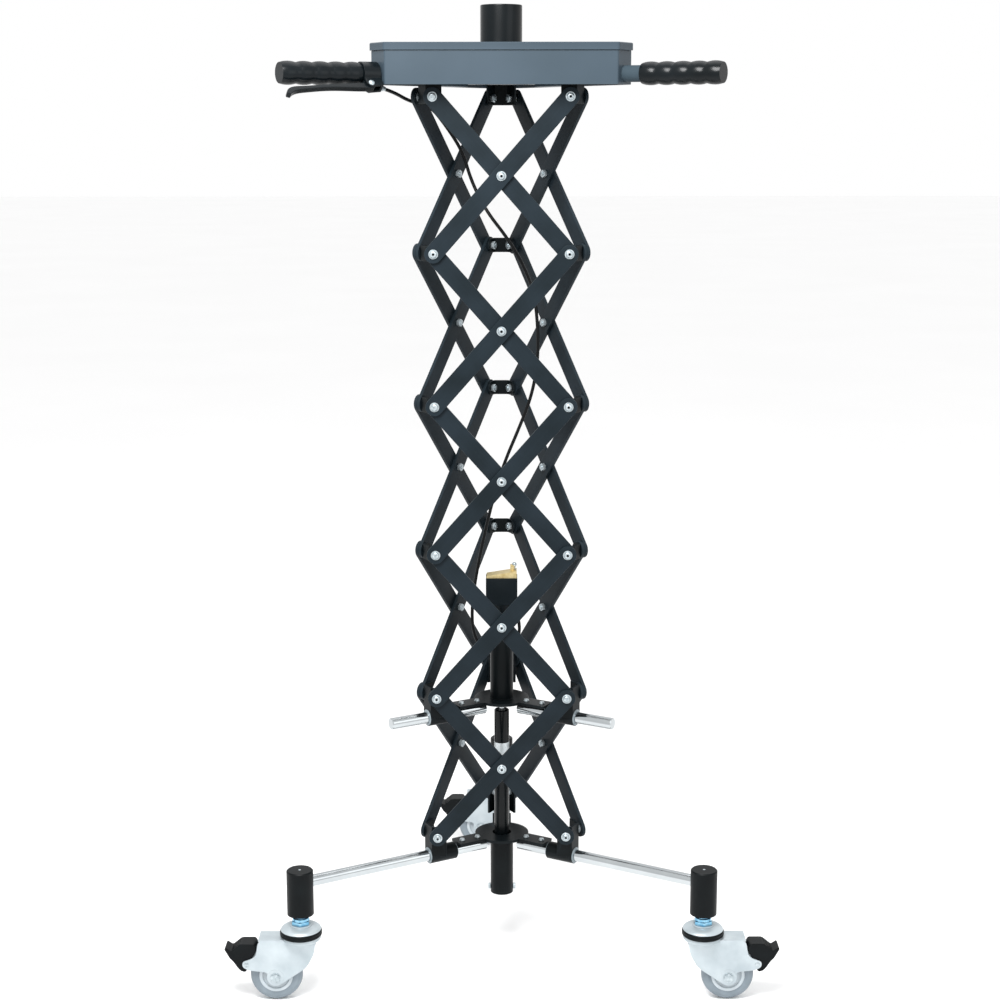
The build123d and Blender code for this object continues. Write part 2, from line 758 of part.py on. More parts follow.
def place_caster(shape, corner):
    x, y = in_plan(corner_angles[corner], leg_radii[corner], 0)
    with BuildPart() as placed:
        with Locations(Location((x, y, 0), (0, 0, wheel_headings[corner]))):
            add(shape.part)
    return placed


# ---- export ----
os.makedirs("parts", exist_ok=True)


def save(shape, name):
    shape.part.label = name
    export_step(shape.part, f"parts/{name}.step")


for face in face_angles:
    for level in range(1, level_count + 1):
        for kind in ("rise", "fall"):
            save(bar_node(face, kind, level), f"bar_{face}_{kind}_{level}")

for corner, angle in corner_angles.items():
    save(slider(angle, level_height(0)), f"lower_slider_{corner}")
    save(slider(angle, level_height(1)), f"upper_slider_{corner}")
    save(bent_plate(angle, top_pin_height - 10, box_bottom + 20, top_pin_height), f"top_bracket_{corner}")
    save(place_caster(fork_local, corner), f"caster_fork_{corner}")
    save(place_caster(wheel_local, corner), f"caster_wheel_{corner}")
    save(place_caster(pedal_local, corner), f"caster_pedal_{corner}")

save(slider_screw(lower_rod_height), "rear_lower_slider_screw")
save(slider_screw(upper_rod_height), "rear_upper_slider_screw")
save(lower_hub, "lower_hub")
save(legs, "legs")
save(upper_hub, "upper_hub")
save(gas_spring_cylinder, "gas_spring_cylinder")
save(gas_spring_rod, "gas_spring_rod")
save(release_lever, "release_lever")
save(top_box, "top_box")
save(handles, "handles")
save(brake_lever, "brake_lever")
save(brake_cable, "brake_cable")
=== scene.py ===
import bpy
import bmesh
import json
from math import atan2, cos, pi, radians, sin, sqrt
from mathutils import Matrix, Vector


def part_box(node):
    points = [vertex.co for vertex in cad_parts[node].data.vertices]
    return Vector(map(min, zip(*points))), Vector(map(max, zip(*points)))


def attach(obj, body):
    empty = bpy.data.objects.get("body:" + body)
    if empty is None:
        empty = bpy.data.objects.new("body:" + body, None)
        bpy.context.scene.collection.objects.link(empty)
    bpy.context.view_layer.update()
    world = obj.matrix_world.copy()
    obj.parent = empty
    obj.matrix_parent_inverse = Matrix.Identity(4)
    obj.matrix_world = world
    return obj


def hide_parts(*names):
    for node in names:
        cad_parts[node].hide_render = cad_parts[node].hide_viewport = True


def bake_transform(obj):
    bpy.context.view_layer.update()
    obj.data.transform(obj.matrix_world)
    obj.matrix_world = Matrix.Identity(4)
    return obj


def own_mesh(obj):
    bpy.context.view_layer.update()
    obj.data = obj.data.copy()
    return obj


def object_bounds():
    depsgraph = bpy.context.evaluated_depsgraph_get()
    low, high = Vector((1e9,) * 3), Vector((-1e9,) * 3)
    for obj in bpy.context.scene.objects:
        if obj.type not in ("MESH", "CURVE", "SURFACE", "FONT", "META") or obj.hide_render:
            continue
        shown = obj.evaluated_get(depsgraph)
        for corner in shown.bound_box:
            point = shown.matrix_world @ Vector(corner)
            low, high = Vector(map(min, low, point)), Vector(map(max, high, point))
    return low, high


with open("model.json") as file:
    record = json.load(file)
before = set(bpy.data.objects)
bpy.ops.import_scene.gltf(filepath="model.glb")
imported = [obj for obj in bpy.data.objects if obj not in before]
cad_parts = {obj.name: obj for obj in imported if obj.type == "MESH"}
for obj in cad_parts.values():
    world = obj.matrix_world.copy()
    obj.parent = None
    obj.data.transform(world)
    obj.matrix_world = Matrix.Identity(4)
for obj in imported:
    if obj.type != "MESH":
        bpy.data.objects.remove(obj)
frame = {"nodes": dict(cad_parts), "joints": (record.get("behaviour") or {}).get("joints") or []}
cadLow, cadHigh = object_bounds()
pins = {joint["name"]: Vector(joint.get("pos_m") or (0, 0, 0)) for joint in frame["joints"]}
mm = 0.001

faceAngles = {"front": 270, "left": 150, "right": 30}
cornerAngles = {"rear": 90, "left": 210, "right": 330}
wheelHeadings = {"rear": 180, "left": 180, "right": 0}
print("frame loaded,", len(frame["nodes"]), "CAD nodes")


# small helpers
def linear(code):
    parts = [int(code[i:i + 2], 16) / 255 for i in (1, 3, 5)]
    return tuple(c / 12.92 if c <= 0.04045 else ((c + 0.055) / 1.055) ** 2.4 for c in parts) + (1,)


def outward(angle):
    return Vector((cos(radians(angle)), sin(radians(angle)), 0))


def sideways(angle):
    return Vector((-sin(radians(angle)), cos(radians(angle)), 0))


def faceFrame(angle, depth=0.0, across=0.0, height=0.0):
    out, along = outward(angle), sideways(angle)
    place = out * depth + along * across + Vector((0, 0, height))
    return Matrix(((along.x, 0, out.x, place.x), (along.y, 0, out.y, place.y),
                   (0, 1, 0, place.z), (0, 0, 0, 1)))


def uprightFrame(place, angle=0.0):
    return Matrix.Translation(place) @ Matrix.Rotation(radians(angle), 4, "Z")


# materials
def addNode(tree, kind, settings=None, links=None):
    node = tree.nodes.new(kind)
    for name, value in (settings or {}).items():
        if hasattr(node, name):
            setattr(node, name, value)
        else:
            node.inputs[name].default_value = value
    for name, socket in (links or {}).items():
        tree.links.new(socket, node.inputs[name])
    return node


def makeMaterial(name, look):
    material = bpy.data.materials.new(name)
    material.use_nodes = True
    tree = material.node_tree
    tree.nodes.clear()
    place = addNode(tree, "ShaderNodeTexCoord").outputs["Object"]
    patches, grain = 1 / (look["patchMm"] * mm), 1 / (look["grainMm"] * mm)
    broad = addNode(tree, "ShaderNodeTexNoise", {"Scale": patches, "Detail": 4.0}, {"Vector": place})
    fine = addNode(tree, "ShaderNodeTexNoise", {"Scale": grain, "Detail": 3.0}, {"Vector": place})
    tone = addNode(tree, "ShaderNodeValToRGB", None, {"Fac": broad.outputs["Fac"]})
    tone.color_ramp.elements[0].position = 0.3
    tone.color_ramp.elements[1].position = 0.7
    tone.color_ramp.elements[0].color = linear(look["darkHex"])
    tone.color_ramp.elements[1].color = linear(look["lightHex"])
    low, high = look["roughness"]
    rough = addNode(tree, "ShaderNodeMapRange", {"To Min": low, "To Max": high},
                    {"Value": fine.outputs["Fac"]})
    bump = addNode(tree, "ShaderNodeBump", {"Strength": look["bump"], "Distance": look["bumpMm"] * mm},
                   {"Height": fine.outputs["Fac"]})
    colour = tone.outputs["Color"]
    if look.get("edgeHighlightHex"):
        # painted highlight: convex edges painted brighter, read from how sharply the surface turns
        edge = addNode(tree, "ShaderNodeNewGeometry").outputs["Pointiness"]
        edgeHighlight = addNode(tree, "ShaderNodeMapRange", {"From Min": 0.52, "From Max": 0.6, "To Max": 0.5},
                       {"Value": edge})
        mixed = addNode(tree, "ShaderNodeMix", {"data_type": "RGBA"}, {"Factor": edgeHighlight.outputs["Result"]})
        tree.links.new(colour, mixed.inputs[6])
        mixed.inputs[7].default_value = linear(look["edgeHighlightHex"])
        colour = mixed.outputs[2]
    sockets = {"Metallic": look.get("metal", 0.0), "Specular IOR Level": look.get("specular", 0.5)}
    if look.get("coat"):
        sockets["Coat Weight"] = look["coat"]
        sockets["Coat Roughness"] = 0.2
    shader = addNode(tree, "ShaderNodeBsdfPrincipled", sockets, {
        "Base Color": colour, "Roughness": rough.outputs["Result"], "Normal": bump.outputs["Normal"]})
    addNode(tree, "ShaderNodeOutputMaterial", None, {"Surface": shader.outputs["BSDF"]})
    return material


# the edge colours in these looks are painted highlights, mixed onto sharp convex edges
looks = {
    # flat bar, anodised: a thin dyed oxide over drawn aluminium, satin slate with a faint drawn grain
    "anodisedAluminium": {"darkHex": "#12191d", "lightHex": "#1b2329", "roughness": (0.36, 0.46),
                          "patchMm": 60, "grainMm": 0.8, "bump": 0.12, "bumpMm": 0.05, "specular": 0.09,
                          "edgeHighlightHex": "#333f46"},
    # pressed steel under black powder coat: close to black, with a slight orange peel
    "powderCoatedSteel": {"darkHex": "#070b0d", "lightHex": "#0c1113", "roughness": (0.3, 0.42), "patchMm": 40,
                          "grainMm": 1.2, "bump": 0.12, "bumpMm": 0.08, "specular": 0.1, "edgeHighlightHex": "#262f35"},
    # sheet-steel housing in slate grey satin enamel
    "slateEnamel": {"darkHex": "#28333b", "lightHex": "#2f3a43", "roughness": (0.32, 0.42), "patchMm": 120,
                    "grainMm": 1.5, "bump": 0.08, "bumpMm": 0.06, "specular": 0.15, "coat": 0.15,
                    "edgeHighlightHex": "#5c6b76"},
    # drawn steel tube, blackened and polished: satin black with soft streaks of light
    "blackenedTube": {"darkHex": "#05090b", "lightHex": "#0a0f12", "roughness": (0.2, 0.3), "patchMm": 50,
                      "grainMm": 0.9, "bump": 0.05, "bumpMm": 0.04, "metal": 0.0, "specular": 0.18},
    # chrome-plated rod
    "chromePlate": {"darkHex": "#b3b8bb", "lightHex": "#c4c9cb", "roughness": (0.06, 0.1), "patchMm": 90,
                    "grainMm": 0.6, "bump": 0.003, "bumpMm": 0.02, "metal": 1.0},
    # bright zinc plate on pressed steel, a cool white with cloudy patches
    "zincPlate": {"darkHex": "#a2adb3", "lightHex": "#c2cbcf", "roughness": (0.34, 0.44), "patchMm": 45,
                  "grainMm": 0.7, "bump": 0.06, "bumpMm": 0.04, "metal": 0.45},
    # small turned fasteners in the same plate, brighter
    "zincFastener": {"darkHex": "#98a3a8", "lightHex": "#c3ccd0", "roughness": (0.24, 0.34), "patchMm": 4,
                     "grainMm": 0.5, "bump": 0.04, "bumpMm": 0.03, "metal": 0.7},
    # blue-passivated zinc on the casters' swivel studs
    "bluePassivatedZinc": {"darkHex": "#4f93b8", "lightHex": "#9cc6da", "roughness": (0.18, 0.3), "patchMm": 6,
                           "grainMm": 0.6, "bump": 0.04, "bumpMm": 0.03, "metal": 0.9},
    # yellow-passivated steel of the release lever
    "yellowZinc": {"darkHex": "#c9b27a", "lightHex": "#ead9a6", "roughness": (0.28, 0.4), "patchMm": 8,
                   "grainMm": 0.6, "bump": 0.04, "bumpMm": 0.03, "metal": 0.6},
    # moulded grip rubber, matt, with a fine eroded texture
    "gripRubber": {"darkHex": "#2b373e", "lightHex": "#343f47", "roughness": (0.6, 0.75), "patchMm": 30,
                   "grainMm": 0.9, "bump": 0.25, "bumpMm": 0.12, "specular": 0.1},
    # moulded glass-filled nylon: black, slightly grained
    "mouldedNylon": {"darkHex": "#06090b", "lightHex": "#0b1012", "roughness": (0.36, 0.5), "patchMm": 25,
                     "grainMm": 0.9, "bump": 0.12, "bumpMm": 0.08, "specular": 0.12},
    # pale acetal bushes and collars
    "acetalBush": {"darkHex": "#6d787e", "lightHex": "#8d979c", "roughness": (0.35, 0.45), "patchMm": 10,
                   "grainMm": 0.8, "bump": 0.04, "bumpMm": 0.04},
    # thermoplastic rubber tread, cool light grey
    "treadRubber": {"darkHex": "#727d85", "lightHex": "#7f8a92", "roughness": (0.45, 0.6), "patchMm": 18,
                    "grainMm": 0.8, "bump": 0.1, "bumpMm": 0.06, "specular": 0.4},
    # polypropylene wheel centre, off-white
    "wheelCentre": {"darkHex": "#aab4ba", "lightHex": "#bec7cc", "roughness": (0.35, 0.45), "patchMm": 16,
                    "grainMm": 0.9, "bump": 0.05, "bumpMm": 0.05},
    # aluminium-foil sleeve round the gas spring, left blank
    "foilSleeve": {"darkHex": "#b4bcc0", "lightHex": "#d2d8da", "roughness": (0.3, 0.42), "patchMm": 12,
                   "grainMm": 0.8, "bump": 0.03, "bumpMm": 0.03, "metal": 0.5},
    # extruded PVC outer of the control cable
    "cableSheath": {"darkHex": "#060708", "lightHex": "#0c0e0f", "roughness": (0.35, 0.45), "patchMm": 20,
                    "grainMm": 0.8, "bump": 0.05, "bumpMm": 0.04, "specular": 0.16},
    # studio floor in flat white paint
    "paintedFloor": {"darkHex": "#fafafa", "lightHex": "#fcfcfc", "roughness": (0.75, 0.85), "patchMm": 900,
                     "grainMm": 6, "bump": 0.0, "bumpMm": 0.1},
}
materials = {name: makeMaterial(name, look) for name, look in looks.items()}
print("materials:", len(materials))


# mesh helpers
def roundEdges(bm, width, segments=2, sharp=35):
    edges = [e for e in bm.edges if len(e.link_faces) == 2 and e.calc_face_angle(0) > radians(sharp)]
    if edges and width:
        bmesh.ops.bevel(bm, geom=edges, offset=width * mm, offset_type="OFFSET", segments=segments,
                        profile=0.5, affect="EDGES", clamp_overlap=True, material=-1)


def finishPiece(bm, name, body, material, replaced=None, sharp=35, weighted=True):
    mesh = bpy.data.meshes.new(name)
    bm.to_mesh(mesh)
    bm.free()
    piece = bpy.data.objects.new(name, mesh)
    bpy.context.scene.collection.objects.link(piece)
    mesh.materials.append(materials[material])
    mesh.shade_smooth()
    mesh.set_sharp_from_angle(angle=radians(sharp))
    if weighted:
        modifier = piece.modifiers.new("weightedNormals", "WEIGHTED_NORMAL")
        modifier.keep_sharp = True
    if body:
        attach(piece, body)
    if replaced:
        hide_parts(replaced)
    return piece


def solidsOf(node):
    bm = bmesh.new()
    bm.from_mesh(frame["nodes"][node].data)
    bmesh.ops.remove_doubles(bm, verts=bm.verts, dist=1e-6)
    left = set(bm.verts)
    groups = []
    while left:
        stack = [left.pop()]
        group = set(stack)
        while stack:
            for edge in stack.pop().link_edges:
                for vert in edge.verts:
                    if vert in left:
                        left.discard(vert)
                        group.add(vert)
                        stack.append(vert)
        groups.append(group)
    solids = []
    for group in groups:
        solid = bmesh.new()
        copies = {vert: solid.verts.new(vert.co) for vert in group}
        for face in {face for vert in group for face in vert.link_faces}:
            solid.faces.new([copies[vert] for vert in face.verts])
        bmesh.ops.dissolve_limit(solid, angle_limit=radians(1), verts=solid.verts, edges=solid.edges)
        solids.append(solid)
    bm.free()
    return sorted(solids, key=lambda s: -s.calc_volume(signed=False))


def centreOf(bm):
    low = Vector([min(v.co[i] for v in bm.verts) for i in range(3)])
    high = Vector([max(v.co[i] for v in bm.verts) for i in range(3)])
    return (low + high) / 2


def lathe(bm, profile, steps, place):
    points = [bm.verts.new(place @ Vector((r * mm, 0, z * mm))) for r, z in profile]
    edges = [bm.edges.new(pair) for pair in zip(points, points[1:])]
    axis = place.to_3x3() @ Vector((0, 0, 1))
    bmesh.ops.spin(bm, geom=points + edges, cent=place.translation, axis=axis, angle=2 * pi, steps=steps,
                   use_merge=True)
    bmesh.ops.remove_doubles(bm, verts=bm.verts, dist=1e-6)


def latheSolid(profile, steps, place):
    bm = bmesh.new()
    lathe(bm, profile, steps, place)
    bmesh.ops.recalc_face_normals(bm, faces=bm.faces)
    return bm


def join(target, source):
    mesh = bpy.data.meshes.new("joining")
    source.to_mesh(mesh)
    source.free()
    target.from_mesh(mesh)
    bpy.data.meshes.remove(mesh)


def outlineSolid(points, place, thickness):
    bm = bmesh.new()
    face = bm.faces.new([bm.verts.new(Vector((x * mm, y * mm, 0))) for x, y in points])
    grown = bmesh.ops.extrude_face_region(bm, geom=[face])
    moved = [g for g in grown["geom"] if isinstance(g, bmesh.types.BMVert)]
    bmesh.ops.translate(bm, verts=moved, vec=(0, 0, thickness * mm))
    bmesh.ops.recalc_face_normals(bm, faces=bm.faces)
    bmesh.ops.transform(bm, matrix=place, verts=bm.verts)
    return bm


def roundedOutline(corners, radius, steps=5):
    points = []
    for i, corner in enumerate(corners):
        corner = Vector(corner)
        toBefore = Vector(corners[i - 1]) - corner
        toAfter = Vector(corners[(i + 1) % len(corners)]) - corner
        cut = min(radius, 0.45 * toBefore.length, 0.45 * toAfter.length)
        start, end = corner + toBefore.normalized() * cut, corner + toAfter.normalized() * cut
        for k in range(steps + 1):
            t = k / steps
            points.append(tuple((1 - t) ** 2 * start + 2 * t * (1 - t) * corner + t * t * end))
    return points


# fasteners
boltSizes = {"washerRadius": 6.7, "washerHeight": 1.1, "headRadius": 5.2, "headHeight": 3.0,
             "socketFlats": 3.4, "socketDepth": 1.0, "shankRadius": 3.0, "tipRadius": 2.6, "tipProud": 1.2,
             "nutFlats": 10.0, "nutHeight": 5.0, "nutEdge": 0.5, "spacerBore": 3.2, "spacerRadius": 6.5}


def buttonBolt(place, length, spacer=None):
    s = boltSizes
    wr, wh, hr, hh = s["washerRadius"], s["washerHeight"], s["headRadius"], s["headHeight"]
    socket = s["socketFlats"] / sqrt(3)
    bm = bmesh.new()
    profile = [(3.1, 0), (wr - 0.3, 0), (wr, 0.3), (wr, wh - 0.3), (wr - 0.3, wh), (hr, wh), (hr, wh + 0.5),
               (hr * 0.93, wh + hh * 0.55), (hr * 0.78, wh + hh * 0.83), (hr * 0.58, wh + hh)]
    lathe(bm, profile, 28, place)
    rim = [e for e in bm.edges if len(e.link_faces) == 1 and
           all(((place.inverted() @ v.co).z / mm) > wh + hh - 0.1 for v in e.verts)]
    hexagon = bmesh.ops.create_circle(bm, segments=6, radius=socket * mm)["verts"]
    bmesh.ops.transform(bm, matrix=place @ Matrix.Translation((0, 0, (wh + hh) * mm)), verts=hexagon)
    ring = list({e for v in hexagon for e in v.link_edges})
    bmesh.ops.bridge_loops(bm, edges=rim + ring)
    grown = bmesh.ops.extrude_edge_only(bm, edges=ring)
    deep = [g for g in grown["geom"] if isinstance(g, bmesh.types.BMVert)]
    bmesh.ops.translate(bm, verts=deep, vec=place.to_3x3() @ Vector((0, 0, -s["socketDepth"] * mm)))
    bmesh.ops.contextual_create(bm, geom=[g for g in grown["geom"] if isinstance(g, bmesh.types.BMEdge)])
    bmesh.ops.recalc_face_normals(bm, faces=bm.faces)
    nut = bmesh.new()
    flats = s["nutFlats"] / sqrt(3)
    bmesh.ops.create_cone(nut, cap_ends=True, segments=6, radius1=flats * mm, radius2=flats * mm,
                          depth=s["nutHeight"] * mm)
    roundEdges(nut, s["nutEdge"])
    nutPlace = place @ Matrix.Translation((0, 0, -(length + s["nutHeight"] / 2) * mm))
    bmesh.ops.transform(nut, matrix=nutPlace, verts=nut.verts)
    join(bm, nut)
    shank = bmesh.new()
    span = length + s["nutHeight"] + s["tipProud"]
    bmesh.ops.create_cone(shank, cap_ends=True, segments=20, radius1=s["tipRadius"] * mm,
                          radius2=s["shankRadius"] * mm, depth=span * mm)
    bmesh.ops.transform(shank, matrix=place @ Matrix.Translation((0, 0, -span / 2 * mm)), verts=shank.verts)
    join(bm, shank)
    if spacer:
        low, high = spacer
        bore, wall = s["spacerBore"], s["spacerRadius"]
        join(bm, latheSolid([(bore, low), (wall - 0.2, low), (wall, low + 0.2), (wall, high - 0.2),
                             (wall - 0.2, high), (bore, high), (bore, low)], 24, place))
    return bm


# scissor bars: the CAD bar with eased edges, and a detailed bolt at each of its bolts
barSizes = {"edge": 0.5, "layer": 5.0, "flange": 3.0, "seat": 0.05, "spacerGap": 0.1}
for face, angle in faceAngles.items():
    for kind in ("rise", "fall"):
        for level in range(1, 6):
            node = f"bar_{face}_{kind}_{level}"
            body = f"{face}_{kind}_{level}"
            bar, *bolts = solidsOf(node)
            centres = [centreOf(bolt) for bolt in bolts]
            for bolt in bolts:
                bolt.free()
            depths = [v.co.dot(outward(angle)) for v in bar.verts]
            roundEdges(bar, barSizes["edge"])
            finishPiece(bar, f"bar.{face}.{kind}.{level}", body, "anodisedAluminium", node)
            if not centres:
                continue
            outer = max(depths)
            middle = sum(c.z for c in centres) / len(centres)
            joined = bmesh.new()
            for centre in centres:
                across = centre.dot(sideways(angle))
                place = faceFrame(angle, outer + barSizes["seat"] * mm, across, centre.z)
                crossing = kind == "rise" and abs(across) < 10 * mm
                layers = barSizes["layer"] * (2 if kind == "rise" else 1)
                length = layers + (0 if crossing else barSizes["flange"])
                # a rising bar's outermost pin has no second bar under it, so a spacer fills the layer
                lowest = level == 1 and centre.z < middle - 20 * mm
                highest = level == 5 and centre.z > middle + 20 * mm
                gap = barSizes["spacerGap"]
                alone = kind == "rise" and (lowest or highest)
                spacer = (-layers + gap, -barSizes["layer"] - gap) if alone else None
                join(joined, buttonBolt(place, length, spacer))
            finishPiece(joined, f"bolts.{face}.{kind}.{level}", body, "zincFastener", None,
                        sharp=30)
print("bars and bolts done")


# bent strips that tie the three faces together at the levels between the upper sliders and the top
stripSizes = {"height": 21.0, "thickness": 3.0, "inset": 31.0, "trim": 22.0, "reach": 42.0, "bend": 8.0,
              "columns": 60, "edge": 0.4, "blendReach": 50.0}


def bentStrip(cornerAngle, side, height):
    s = stripSizes
    half = s["height"] / 2
    flat, turn = s["trim"] / 2, s["bend"]
    run = s["reach"] - s["trim"]
    slant = Vector((-cos(radians(30)), sin(radians(30)), 0))
    webX = side / sqrt(3) / mm + s["trim"] * slant.x

    # path in plan, outer face, from one flange end round the corner to the other
    def planPoint(t):
        a = abs(t)
        sign = 1 if t > 0 else -1
        if a <= flat - turn / 2:
            return Vector((webX, t, 0)), 0.0
        if a <= flat + turn / 2:
            u = (a - flat + turn / 2) / turn
            p0, p1 = Vector((webX, flat - turn / 2, 0)), Vector((webX, flat, 0))
            p2 = p1 + slant * turn / 2
            point = p0 * (1 - u) ** 2 + p1 * 2 * u * (1 - u) + p2 * u * u
            return Vector((point.x, sign * point.y, 0)), 0.0
        beyond = a - flat
        point = Vector((webX, flat, 0)) + slant * beyond
        return Vector((point.x, sign * point.y, 0)), max(0.0, beyond - (run - half))

    length = s["reach"] - flat
    bm = bmesh.new()
    bmesh.ops.create_grid(bm, x_segments=s["columns"], y_segments=4, size=1.0)
    turnTo = Matrix.Rotation(radians(cornerAngle), 4, "Z")
    for vert in bm.verts:
        point, past = planPoint(vert.co.x * length)
        tall = sqrt(max(0.0, half * half - past * past))
        upward = height + vert.co.y * tall * mm
        vert.co = turnTo @ Vector((point.x * mm, point.y * mm, 0)) + Vector((0, 0, upward))
    bmesh.ops.remove_doubles(bm, verts=bm.verts, dist=1e-5)
    bmesh.ops.recalc_face_normals(bm, faces=bm.faces)
    middle = max(bm.faces, key=lambda f: f.calc_center_median().dot(outward(cornerAngle)))
    if middle.normal.dot(outward(cornerAngle)) < 0:
        bmesh.ops.reverse_faces(bm, faces=bm.faces)
    bmesh.ops.solidify(bm, geom=bm.faces, thickness=s["thickness"] * mm)
    bmesh.ops.recalc_face_normals(bm, faces=bm.faces)
    return bm


side = 2 * (abs(pins["front_low"].x) + stripSizes["inset"] * mm)
for corner, angle in cornerAngles.items():
    face = next(name for name, turn in faceAngles.items() if turn == (angle + 60) % 360)
    for level in (2, 3, 4):
        pin = pins[f"{face}_left_{level}"]
        strip = bentStrip(angle, side, pin.z)
        roundEdges(strip, stripSizes["edge"], sharp=50)
        piece = finishPiece(strip, f"cornerStrip.{corner}.{level}", None, "powderCoatedSteel", None)
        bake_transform(piece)
print("corner strips done")


# sliders and top brackets
sliderSizes = {"edge": 0.6, "bushWall": 2.4, "rodRadius": 8.56, "drop": 34.0}
for corner, angle in cornerAngles.items():
    for kind in ("lower_slider", "upper_slider", "top_bracket"):
        node = f"{kind}_{corner}"
        plate = solidsOf(node)[0]
        roundEdges(plate, sliderSizes["edge"], sharp=40)
        finishPiece(plate, node.replace("_", "."), node, "powderCoatedSteel", node)
        if kind == "top_bracket":
            continue
        level = pins["front_low"].z if kind == "lower_slider" else pins["front_left_1"].z
        height = level - sliderSizes["drop"] * mm
        bushes = bmesh.new()
        reach = [outward(angle).dot(Vector(v.co)) for v in frame["nodes"][node].data.vertices]
        for end, turn in ((max(reach), 1), (min(reach), -1)):
            r, w = sliderSizes["rodRadius"], sliderSizes["bushWall"]
            rim = r + w + 0.8
            profile = [(r, -1.0), (rim, -1.0), (rim, 0.6), (rim - 0.6, 1.2), (r, 1.2), (r, -1.0)]
            place = faceFrame(angle, end, 0, height)
            if turn < 0:
                place = place @ Matrix.Rotation(pi, 4, "X")
            join(bushes, latheSolid(profile, 36, place))
        finishPiece(bushes, f"bushes.{kind.split('_')[0]}.{corner}", node, "acetalBush", None)
print("sliders done")


# pieces that keep their CAD shape, split into solids so that each takes its own finish
def dress(node, body, pick, edge=0.4, sharp=38, reshape=None):
    byFinish = {}
    for solid in solidsOf(node):
        finish = pick(solid.calc_volume(signed=False) / mm ** 3, centreOf(solid))
        if reshape:
            reshape(solid, finish)
        roundEdges(solid, edge, sharp=sharp)
        byFinish.setdefault(finish, bmesh.new())
        join(byFinish[finish], solid)
    replaced = node
    for finish, solid in byFinish.items():
        name = f"{node.replace('_', '.')}.{finish}"
        finishPiece(solid, name, body, finish, replaced)
        replaced = None


# finishes are told apart by a solid's volume in cubic millimetres or by where it lies
sortSizes = {"boltLargest": 5000, "barLargest": 40000, "capsBeyond": 0.3, "rodsBeyond": 0.08,
             "socketDepth": 0.035, "gripReachBack": 14.0}


def plateOrScrew(size, centre):
    return "powderCoatedSteel" if size > sortSizes["boltLargest"] else "zincFastener"


def legOrCap(size, centre):
    return "mouldedNylon" if centre.xy.length > sortSizes["capsBeyond"] else "chromePlate"


def rodOrHub(size, centre):
    rod = centre.xy.length > sortSizes["rodsBeyond"] and size > sortSizes["boltLargest"]
    return "chromePlate" if rod else plateOrScrew(size, centre)


def socketOrBox(size, centre):
    return "blackenedTube" if centre.z > cadHigh.z - sortSizes["socketDepth"] else "slateEnamel"


def barOrGrip(size, centre):
    return "blackenedTube" if size < sortSizes["barLargest"] else "gripRubber"


def allOf(finish):
    return lambda size, centre: finish


def longerRightGrip(solid, finish):
    # the right grip has no brake clamp beside it, so it reaches back to the box
    if finish != "gripRubber" or centreOf(solid).x < 0:
        return
    along = [v.co.dot(outward(330)) for v in solid.verts]
    low, high = min(along), max(along)
    for vert, reach in zip(solid.verts, along):
        vert.co -= outward(330) * sortSizes["gripReachBack"] * mm * (high - reach) / (high - low)


dress("lower_hub", "base", plateOrScrew)
dress("legs", "base", legOrCap, edge=0.5)
dress("upper_hub", "upper_hub", rodOrHub)
dress("gas_spring_cylinder", "gas_spring_cylinder", allOf("blackenedTube"))
dress("gas_spring_rod", "gas_spring_rod", allOf("chromePlate"))
dress("release_lever", "release_lever", allOf("yellowZinc"))
dress("rear_lower_slider_screw", "lower_screw", allOf("zincFastener"), edge=0.3)
dress("rear_upper_slider_screw", "upper_screw", allOf("zincFastener"), edge=0.3)
dress("top_box", "top", socketOrBox, edge=0.8)
dress("handles", "top", barOrGrip, reshape=longerRightGrip)
dress("brake_lever", "brake_lever", allOf("blackenedTube"), edge=1.0)
print("dressed CAD pieces done")

# casters: dome and seal over a pressed fork, soft wheel, brake pedal on an arm of the fork
casterSizes = {"trail": 36.0, "axleHeight": 37.5, "gap": 28.0, "sheet": 2.5, "wheelRadius": 37.5,
               "tyreHalf": 12.0, "rim": 24.0, "pivot": (77.0, 57.0), "washerProud": 0.7, "axleHex": 12.0,
               "pedalHalf": 13.6, "ribs": 6, "ribFrom": (87.5, 85.6), "ribTo": (97.5, 77.6),
               "hexFlats": 24.0, "hexLow": 112.8, "hexHeight": 5.6}
cheekOutline = [(-22, 95), (-20, 74), (-8, 52), (28, 27), (38, 25), (47, 34), (48, 45), (74, 48), (83, 53),
                (83, 61), (64, 68), (60, 94)]
pedalOutline = [(62, 79), (66, 87), (86, 87), (99, 76), (106.5, 81.5), (108.8, 79), (101, 65), (96, 60),
                (91, 52), (86, 46), (79, 44), (74, 53), (72, 60)]


def hexSolid(flats, height, place):
    bm = bmesh.new()
    radius = flats / sqrt(3) * mm
    bmesh.ops.create_cone(bm, cap_ends=True, segments=6, radius1=radius, radius2=radius, depth=height * mm)
    roundEdges(bm, 0.6)
    bmesh.ops.transform(bm, matrix=place @ Matrix.Translation((0, 0, height / 2 * mm)), verts=bm.verts)
    return bm


def boxSolid(size, centre, place, edge):
    bm = bmesh.new()
    bmesh.ops.create_cube(bm, size=1.0)
    bmesh.ops.scale(bm, vec=[v * mm for v in size], verts=bm.verts)
    roundEdges(bm, edge)
    bmesh.ops.transform(bm, matrix=place @ Matrix.Translation([v * mm for v in centre]), verts=bm.verts)
    return bm


def acrossPlane(place, y):
    return place @ Matrix(((1, 0, 0, 0), (0, 0, -1, y * mm), (0, 1, 0, 0), (0, 0, 0, 1)))


def cheekFace(place, spot, side, proud=0.0):
    # outer face of one fork cheek at a spot given as run and height, z pointing outwards
    across = side * (casterSizes["gap"] / 2 + casterSizes["sheet"] + proud)
    at = Matrix.Translation((spot[0] * mm, across * mm, spot[1] * mm))
    return place @ at @ Matrix.Rotation(radians(-90 * side), 4, "X")


